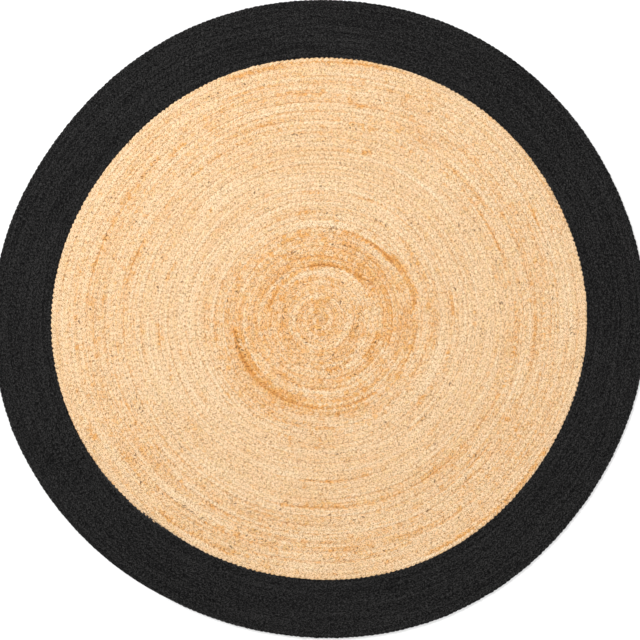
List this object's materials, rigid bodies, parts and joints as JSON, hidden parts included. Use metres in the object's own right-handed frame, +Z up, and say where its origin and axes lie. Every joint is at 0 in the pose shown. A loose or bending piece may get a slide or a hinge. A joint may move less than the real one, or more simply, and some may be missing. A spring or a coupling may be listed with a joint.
{
  "type": "round jute rug",
  "caption": "Flat round rug wound from one plaited jute braid, natural in the middle with a black border, to lie on a floor.",
  "frame": {"origin": "middle of the rug's box at the flat underside", "axes": "+Z up out of the top face, +X along the rug's slightly longer width, +Y across it"},
  "size_m": [1.5204, 1.4842, 0.009],
  "materials": {
    "natural_jute": "matte plaited jute fibre, undyed golden straw",
    "black_jute": "matte plaited jute fibre, dyed black"
  },
  "bodies": {
    "root": {"natural_coil": "natural_jute", "black_border": "black_jute"}
  },
  "joints": []
}
